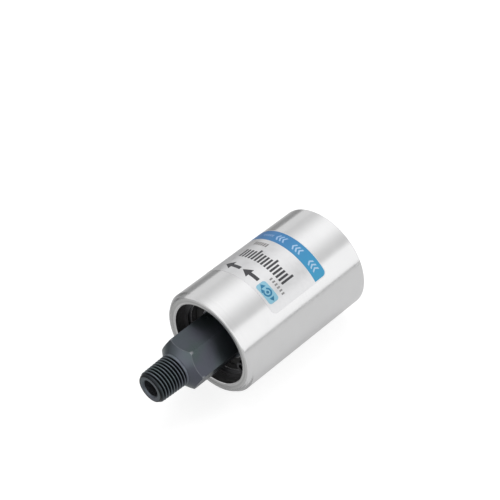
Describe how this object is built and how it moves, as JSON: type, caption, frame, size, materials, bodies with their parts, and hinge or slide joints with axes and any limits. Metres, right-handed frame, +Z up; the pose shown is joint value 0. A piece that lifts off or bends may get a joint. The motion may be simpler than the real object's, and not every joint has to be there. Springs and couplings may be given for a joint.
{
  "type": "hydraulic rotary union",
  "caption": "Round-bodied rotary union: a hexagon-and-nipple rotor turns in a plain housing on ball bearings, sealed by a sprung carbon face, with a threaded port at the rear.",
  "frame": {"origin": "on the axis of rotation, at the mouth of the rear port", "axes": "+Y along the axis of rotation, out of the rear port; the rotor's nipple points to -Y; +Z up with the union lying on its side, +X to the right seen from the nipple"},
  "size_m": [0.044, 0.0955, 0.044],
  "materials": {
    "housing_aluminium": "turned and polished bare aluminium",
    "blackened_steel": "black oxide, satin, bluish",
    "blackened_spring_steel": "phosphated spring steel",
    "bearing_steel": "ground and polished",
    "cage_steel": "pressed sheet steel",
    "bearing_rubber": "moulded nitrile, matt",
    "oring_rubber": "nitrile, smooth",
    "ground_steel": "ground faces",
    "silicon_carbide": "lapped",
    "carbon": "resin-bound carbon, lapped nose",
    "stainless_steel": "turned",
    "spring_wire": "drawn stainless wire",
    "label_film": "printed self-adhesive film, blue on silver"
  },
  "bodies": {
    "housing": {"housing": "housing_aluminium", "bore_retaining_ring": "blackened_spring_steel", "end_play_shim": "ground_steel", "front_bearing_outer_ring": "bearing_steel", "front_bearing_front_seal": "bearing_rubber", "front_bearing_rear_seal": "bearing_rubber", "outer_spacer": "ground_steel", "rear_bearing_outer_ring": "bearing_steel", "rear_bearing_front_seal": "bearing_rubber", "rear_bearing_rear_seal": "bearing_rubber", "guide_pins": "stainless_steel", "gland_oring": "oring_rubber", "seal_spring": "spring_wire"},
    "rotor": {"rotor": "blackened_steel", "front_bearing_inner_ring": "bearing_steel", "inner_spacer": "ground_steel", "rear_bearing_inner_ring": "bearing_steel", "shaft_retaining_ring": "blackened_spring_steel", "rotating_seal_ring": "silicon_carbide", "rotating_oring": "oring_rubber", "drive_pins": "stainless_steel"},
    "front_cage": {"front_bearing_cage": "cage_steel", "front_bearing_balls": "bearing_steel"},
    "rear_cage": {"rear_bearing_cage": "cage_steel", "rear_bearing_balls": "bearing_steel"},
    "floating_seal": {"seal_carrier": "stainless_steel", "carbon_seal_ring": "carbon"}
  },
  "joints": [
    {"name": "rotor_spin", "type": "hinge", "parent": "housing", "child": "rotor", "pos_m": [0, 0, 0], "axis": [0, 1, 0], "continuous": true},
    {"name": "front_cage_spin", "type": "hinge", "parent": "housing", "child": "front_cage", "pos_m": [0, 0, 0], "axis": [0, 1, 0], "continuous": true},
    {"name": "rear_cage_spin", "type": "hinge", "parent": "housing", "child": "rear_cage", "pos_m": [0, 0, 0], "axis": [0, 1, 0], "continuous": true},
    {"name": "seal_slide", "type": "slide", "parent": "housing", "child": "floating_seal", "axis": [0, 1, 0], "range_m": [0, 0.001], "stiffness_N_per_m": 1385, "springref_m": -0.004, "deforming": ["seal_spring"]}
  ],
  "couplings": [
    {"joint": "front_cage_spin", "follows": "rotor_spin", "ratio": 0.40842},
    {"joint": "rear_cage_spin", "follows": "rotor_spin", "ratio": 0.40842}
  ]
}
